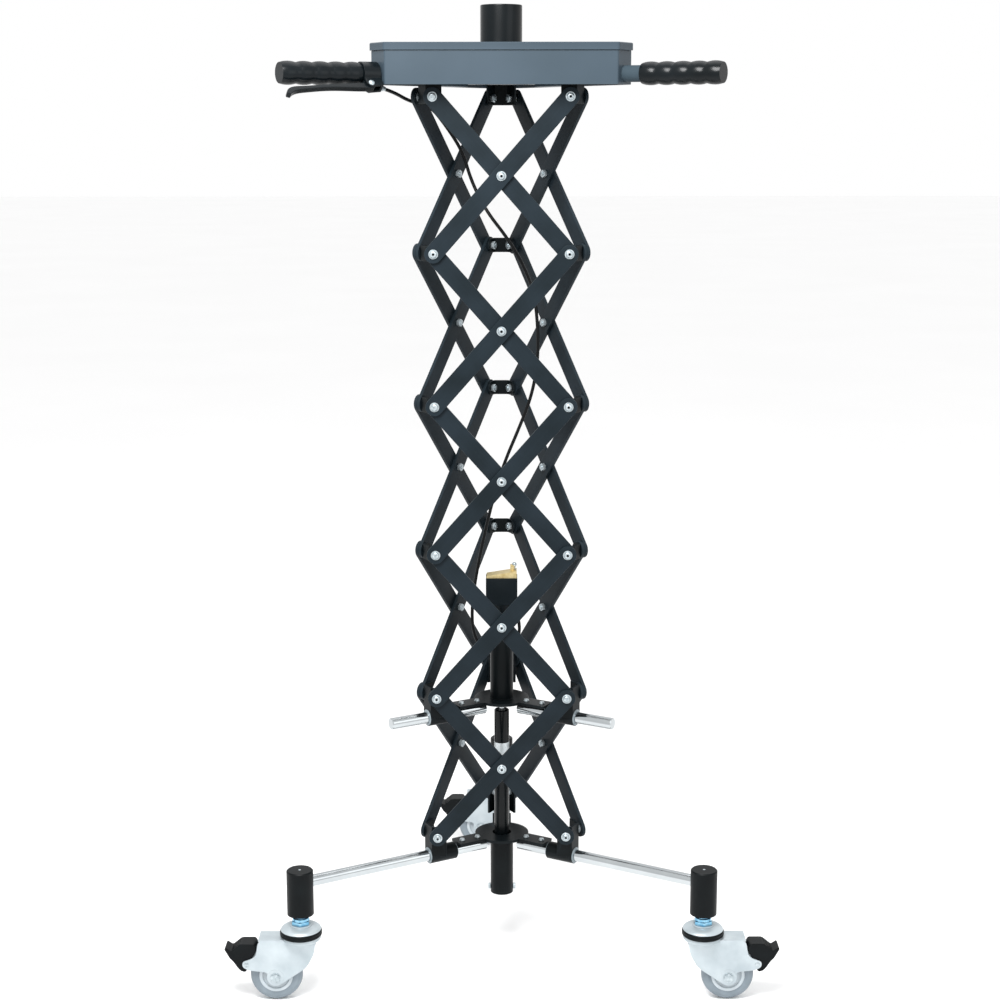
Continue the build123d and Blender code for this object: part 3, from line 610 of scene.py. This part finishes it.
for corner, heading in wheelHeadings.items():
    s = casterSizes
    stemPlace = pins[f"swivel_{corner}"]
    place = uprightFrame(Vector((stemPlace.x, stemPlace.y, 0)), heading)
    fork, wheel, pedal = (f"caster_{part}_{corner}" for part in ("fork", "wheel", "pedal"))
    axle = (s["trail"], s["axleHeight"])
    # crown and two pressed cheeks
    pressed = latheSolid([(5.6, 92.4), (25.5, 92.4), (27.6, 90.5), (28.4, 92), (27.4, 95.9), (5.6, 96)],
                         48, place)
    join(pressed, boxSolid((58, s["gap"] + 2 * s["sheet"], 2.4), (31, 0, 93.4), place, 1.1))
    for side in (-1, 1):
        inner = side * s["gap"] / 2
        start = inner + (s["sheet"] if side > 0 else 0)
        cheek = outlineSolid(roundedOutline(cheekOutline, 9), acrossPlane(place, start), s["sheet"])
        roundEdges(cheek, 0.9, segments=3)
        join(pressed, cheek)
        boss = [(4, 0.0), (12.5, 0.0), (11.2, 0.7), (8.5, 0.9), (4, 0.9), (4, 0.0)]
        join(pressed, latheSolid(boss, 36, cheekFace(place, axle, side)))
    finishPiece(pressed, f"casterFork.{corner}", fork, "zincPlate", fork)
    bolts = bmesh.new()
    for side in (-1, 1):
        outer = cheekFace(place, axle, side, s["washerProud"])
        join(bolts, latheSolid([(3, 0.0), (7.6, 0.0), (7.8, 0.4), (7.5, 0.9), (3, 0.9), (3, 0.0)], 30, outer))
        join(bolts, hexSolid(s["axleHex"], 1.9, outer @ Matrix.Translation((0, 0, 0.8 * mm))))
        rivet = [(0, 1.3), (2.2, 1.1), (3.4, 0.4), (3.6, -0.2), (0, -0.2)]
        join(bolts, latheSolid(rivet, 24, cheekFace(place, s["pivot"], side)))
    finishPiece(bolts, f"casterBolts.{corner}", fork, "zincFastener", None)
    # swivel head
    seal = latheSolid([(23, 96.2), (28.6, 96.2), (29.8, 97.4), (30, 99), (29.3, 100.2), (30, 101.6),
                       (29.6, 103.6), (28.2, 104.8), (23, 104.8), (23, 96.2)], 56, place)
    finishPiece(seal, f"casterSeal.{corner}", fork, "mouldedNylon", None)
    dome = latheSolid([(6, 104.6), (28.2, 104.6), (28.9, 105.2), (28, 106.8), (24.5, 109), (19, 110.6),
                       (13.5, 111.2), (6, 111.3), (6, 104.6)], 56, place)
    join(dome, latheSolid([(5.6, 111.2), (15.2, 111.2), (15.5, 111.6), (15.2, 112.8), (5.6, 112.8),
                           (5.6, 111.2)], 36, place))
    finishPiece(dome, f"casterDome.{corner}", fork, "zincPlate", None)
    stem = hexSolid(s["hexFlats"], s["hexHeight"], place @ Matrix.Translation((0, 0, s["hexLow"] * mm)))
    join(stem, latheSolid([(0, 118.3), (11.2, 118.3), (11.7, 118.8), (11.7, 122.4), (11, 123), (9.8, 123.2),
                           (9.8, 127.4), (5.5, 127.6), (5.5, 158), (0, 158)], 32, place))
    finishPiece(stem, f"casterStem.{corner}", fork, "bluePassivatedZinc", None)
    # wheel
    wheelPlace = acrossPlane(place, 0) @ Matrix.Translation((axle[0] * mm, axle[1] * mm, 0))
    r, half, rim = s["wheelRadius"], s["tyreHalf"], s["rim"]
    side = [(rim, half - 2), (r - 9.5, half - 0.9), (r - 7, half - 1.1), (r - 3.6, half - 2.6),
            (r - 1.5, half - 5.2), (r - 0.4, half - 8.6), (r, 0)]
    tyre = side + [(radius, -z) for radius, z in reversed(side[:-1])]
    tread = latheSolid(tyre + [tyre[0]], 72, wheelPlace)
    finishPiece(tread, f"tyre.{corner}", wheel, "treadRubber", wheel)
    face = [(4.1, half + 0.4), (9.6, half + 0.4), (10.4, half - 0.2), (10.8, half - 3.8), (12.4, half - 4.4),
            (16.6, half - 4.0), (18.6, half - 3.2), (19.4, half - 1.2), (20.4, half - 0.8),
            (22.9, half - 0.9), (23.9, half - 1.6)]
    centre = face + [(radius, -z) for radius, z in reversed(face)]
    hub = latheSolid(centre + [centre[0]], 60, wheelPlace)
    finishPiece(hub, f"wheelCentre.{corner}", wheel, "wheelCentre", None)
    # pedal
    half = s["pedalHalf"]
    lever = outlineSolid(roundedOutline(pedalOutline, 3.2), acrossPlane(place, half), 2 * half)
    roundEdges(lever, 1.3, segments=3)
    first, last = Vector(s["ribFrom"]), Vector(s["ribTo"])
    lean = atan2(last.y - first.y, last.x - first.x)
    for index in range(s["ribs"]):
        spot = first.lerp(last, index / (s["ribs"] - 1))
        ribPlace = place @ Matrix.Translation((spot.x * mm, 0, spot.y * mm)) @ Matrix.Rotation(-lean, 4, "Y")
        join(lever, boxSolid((1.2, 2 * half - 5, 1.3), (0, 0, 0.1), ribPlace, 0.35))
    finishPiece(lever, f"brakePedal.{corner}", pedal, "mouldedNylon", pedal)
print("casters done")

# control cable, from the lever's adjuster down to the release head
# heights above the handles are offsets, heights inside the column stretch between the release head and the top
cableSizes = {"diameter": 4.8, "order": 3, "keep": 0.241, "pivotToHeadBase": 34.0, "pivotToAdjuster": 17.0,
              "routeFoot": 540.0, "routeRise": 709.0, "endX": 21.0}
low = pins["release_lever_pivot"].z / mm - cableSizes["pivotToHeadBase"] - 1
high = pins["brake_lever_pivot"].z / mm + cableSizes["pivotToAdjuster"]
stretch = (pins["bracket_rear"].z / mm - low - 1) / cableSizes["routeRise"]
cableOutside = [(-166.0, -96.0, -17.0), (-148.0, -70.0, -22.0), (-125.0, -32.0, -36.0)]
cableInside = [
    (-100.0, -3.0, 1240.0), (-76.0, 16.0, 1210.0), (-54.0, 24.0, 1176.0), (-43.0, 24.0, 1138.0),
    (-22.0, 13.0, 1097.0), (10.0, 4.0, 1058.0), (33.0, 9.0, 1019.0), (47.0, 20.0, 982.0),
    (52.0, 23.0, 940.0), (53.0, 18.0, 890.0), (44.0, 10.0, 840.0), (25.0, 5.0, 793.0),
    (4.0, 3.0, 745.0), (-12.0, 4.0, 694.0), (-25.0, 8.0, 640.0), (-35.0, 12.0, 592.0),
    (-41.0, 16.0, 555.0), (-44.0, 21.0, 523.0), (-43.0, 27.0, 495.0), (-36.0, 31.0, 473.0),
    (-19.0, 34.0, 459.0), (3.0, 33.0, 459.0), (20.0, 26.0, 472.0), (27.0, 15.0, 493.0), (25.0, 5.0, 516.0)]
cableRoute = [(x, y, high + z) for x, y, z in cableOutside]
cableRoute += [(x, y, low + (z - cableSizes["routeFoot"]) * stretch) for x, y, z in cableInside]
cableRoute += [(cableSizes["endX"], 0.0, low)]


def routeCurve(name, thickness):
    curve = bpy.data.curves.new(name, "CURVE")
    curve.dimensions = "3D"
    curve.bevel_depth = thickness / 2 * mm
    curve.bevel_resolution = 5
    curve.use_fill_caps = True
    spline = curve.splines.new("NURBS")
    spline.points.add(len(cableRoute) - 1)
    for point, spot in zip(spline.points, cableRoute):
        point.co = (*(Vector(spot) * mm), 1)
    spline.order_u = cableSizes["order"]
    spline.use_endpoint_u = True
    spline.resolution_u = 8
    holder = bpy.data.objects.new(name, curve)
    bpy.context.scene.collection.objects.link(holder)
    bpy.context.view_layer.update()
    mesh = bpy.data.meshes.new_from_object(holder)
    bpy.data.objects.remove(holder)
    return mesh


path = [v.co.copy() for v in routeCurve("cableCentreline", 0).vertices]
sheath = bmesh.new()
sheath.from_mesh(routeCurve("cableSheath", cableSizes["diameter"]))
bmesh.ops.remove_doubles(sheath, verts=sheath.verts, dist=1e-6)
bmesh.ops.recalc_face_normals(sheath, faces=sheath.faces)
cable = finishPiece(sheath, "controlCable", "upper_hub", "cableSheath", "brake_cable",
                    weighted=False)
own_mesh(cable)

# fittings on the handle and the gas spring
fittings = {"adjusterRadius": 3.7, "adjusterLength": 15.0, "screwRadius": 4.2, "screwReach": 7.0,
            "bandRadius": 11.25, "bandWall": 0.3, "bandLow": 311.0, "bandHigh": 329.0}
start, onward = Vector(cableRoute[0]) * mm, Vector(cableRoute[1]) * mm
turn = (onward - start).to_track_quat("Z", "Y").to_matrix().to_4x4()
r, length = fittings["adjusterRadius"], fittings["adjusterLength"]
barrel = latheSolid([(2.5, -2), (r, -2), (r, 4), (r + 0.9, 4.4), (r + 0.9, 8.6), (r, 9), (r - 0.6, length),
                     (2.5, length), (2.5, -2)], 20, Matrix.Translation(start) @ turn)
finishPiece(barrel, "cableAdjuster", "top", "zincFastener", None)
leverPivot = next(joint for joint in frame["joints"] if joint["name"] == "brake_lever_pivot")
axis = Vector(leverPivot["axis"]).normalized()
screws = bmesh.new()
for side in (-1, 1):
    spot = pins["brake_lever_pivot"] + axis * side * fittings["screwReach"] * mm
    seat = Matrix.Translation(spot) @ (axis * side).to_track_quat("Z", "Y").to_matrix().to_4x4()
    r = fittings["screwRadius"]
    head = [(0, 1.9), (r * 0.6, 1.8), (r * 0.9, 1.2), (r, 0.2), (r, -0.5), (0, -0.5)]
    join(screws, latheSolid(head, 24, seat))
finishPiece(screws, "leverPivotScrew", "top", "zincFastener", None)
r, bandLow, bandHigh = fittings["bandRadius"], fittings["bandLow"], fittings["bandHigh"]
bore = r - fittings["bandWall"]
band = latheSolid([(bore, bandLow), (r, bandLow), (r, bandHigh), (bore, bandHigh), (bore, bandLow)], 48,
                  Matrix.Identity(4))
finishPiece(band, "gasSpringBand", "gas_spring_cylinder", "foilSleeve", None)
# cable nipple in the release lever's fork
nipple = {"place": (18.6, 0.0), "radius": 3.6, "neck": 1.7, "length": 8.0}
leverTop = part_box("release_lever")[1].z / mm
r, neck = nipple["radius"], nipple["neck"]
foot = -nipple["length"]
bead = [(0, r), (r * 0.5, r * 0.87), (r * 0.87, r * 0.5), (r, 0), (r * 0.87, -r * 0.5), (neck, -r * 0.87),
        (neck, foot), (0, foot)]
seat = uprightFrame(Vector((*nipple["place"], leverTop)) * mm)
finishPiece(latheSolid(bead, 28, seat), "cableNipple", "release_lever", "zincFastener", None)
# centre pins in the caps over the casters
capPin = {"radius": 1.9, "proud": 0.35}
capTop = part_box("legs")[1].z
pinsInCaps = bmesh.new()
for corner in cornerAngles:
    at = pins[f"swivel_{corner}"]
    r, proud = capPin["radius"], capPin["proud"]
    seat = uprightFrame(Vector((at.x, at.y, capTop)))
    join(pinsInCaps, latheSolid([(0, proud), (r * 0.6, proud * 0.9), (r, 0), (r, -1.0), (0, -1.0)], 20, seat))
finishPiece(pinsInCaps, "capPins", "base", "zincFastener", None)
print("fittings done")

# studio: plain pale floor, soft light, camera at eye height in front
studio = {"worldHex": "#ffffff", "worldStrength": 1.0, "focal": 67.6,
          "cameraPlace": (-1.8, -2672.0, 1231.0), "cameraPitch": 11.34, "cameraRoll": 0.05}
bm = bmesh.new()
bmesh.ops.create_grid(bm, x_segments=1, y_segments=1, size=30.0)
floor = finishPiece(bm, "floor", None, "paintedFloor", weighted=False)

world = bpy.data.worlds.new("softStudio")
bpy.context.scene.world = world
world.use_nodes = True
world.node_tree.nodes["Background"].inputs["Color"].default_value = linear(studio["worldHex"])
world.node_tree.nodes["Background"].inputs["Strength"].default_value = studio["worldStrength"]

lights = {
    "keyLight": {"place": (-0.3, -1.05, 1.95), "aim": (0, 0, 1.2), "size": 0.7, "power": 42},
    "fillLight": {"place": (1.9, -1.7, 1.5), "aim": (0, 0, 0.8), "size": 1.4, "power": 6},
    "topLight": {"place": (0.2, 0.4, 3.0), "aim": (0, 0, 0.9), "size": 1.6, "power": 10},
}
for name, lamp in lights.items():
    light = bpy.data.lights.new(name, "AREA")
    light.size = lamp["size"]
    light.energy = lamp["power"]
    holder = bpy.data.objects.new(name, light)
    bpy.context.scene.collection.objects.link(holder)
    holder.location = lamp["place"]
    holder.visible_camera = False
    holder.rotation_euler = (Vector(lamp["aim"]) - Vector(lamp["place"])).to_track_quat("-Z", "Y").to_euler()

camera = bpy.data.objects.new("camera", bpy.data.cameras.new("camera"))
bpy.context.scene.collection.objects.link(camera)
camera.data.lens = studio["focal"]
camera.data.sensor_width = 36
camera.data.clip_end = 60
camera.location = Vector(studio["cameraPlace"]) * mm
camera.rotation_euler = (radians(90 - studio["cameraPitch"]), radians(studio["cameraRoll"]), 0)
bpy.context.scene.camera = camera
bpy.context.scene.view_settings.view_transform = "Standard"
